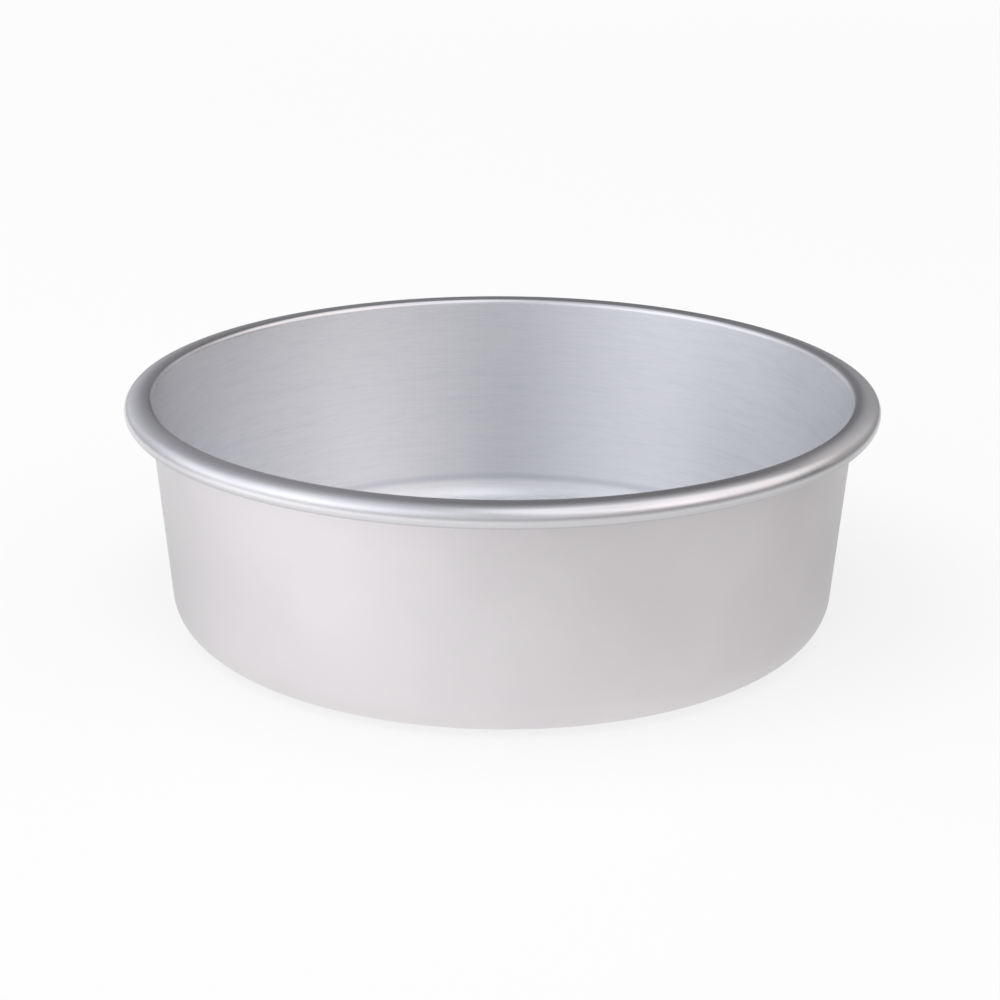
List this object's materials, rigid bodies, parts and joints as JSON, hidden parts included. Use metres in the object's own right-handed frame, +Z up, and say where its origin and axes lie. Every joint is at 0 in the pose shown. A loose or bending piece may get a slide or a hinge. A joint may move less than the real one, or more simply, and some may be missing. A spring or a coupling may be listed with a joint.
{
  "type": "cake pan",
  "caption": "Deep round aluminium cake pan with a leaning wall, a rounded bottom corner and a thick rim rolled over a wire hoop.",
  "frame": {"origin": "centre of the pan's underside", "axes": "+Z up along the axis of the pan, +X and +Y across the mouth"},
  "size_m": [0.216, 0.216, 0.068],
  "materials": {
    "satin_aluminium": "satin, with fine spun lines inside",
    "drawn_steel_wire": "bright drawn wire"
  },
  "bodies": {
    "root": {"pan_shell": "satin_aluminium", "rim_wire": "drawn_steel_wire"}
  },
  "joints": []
}
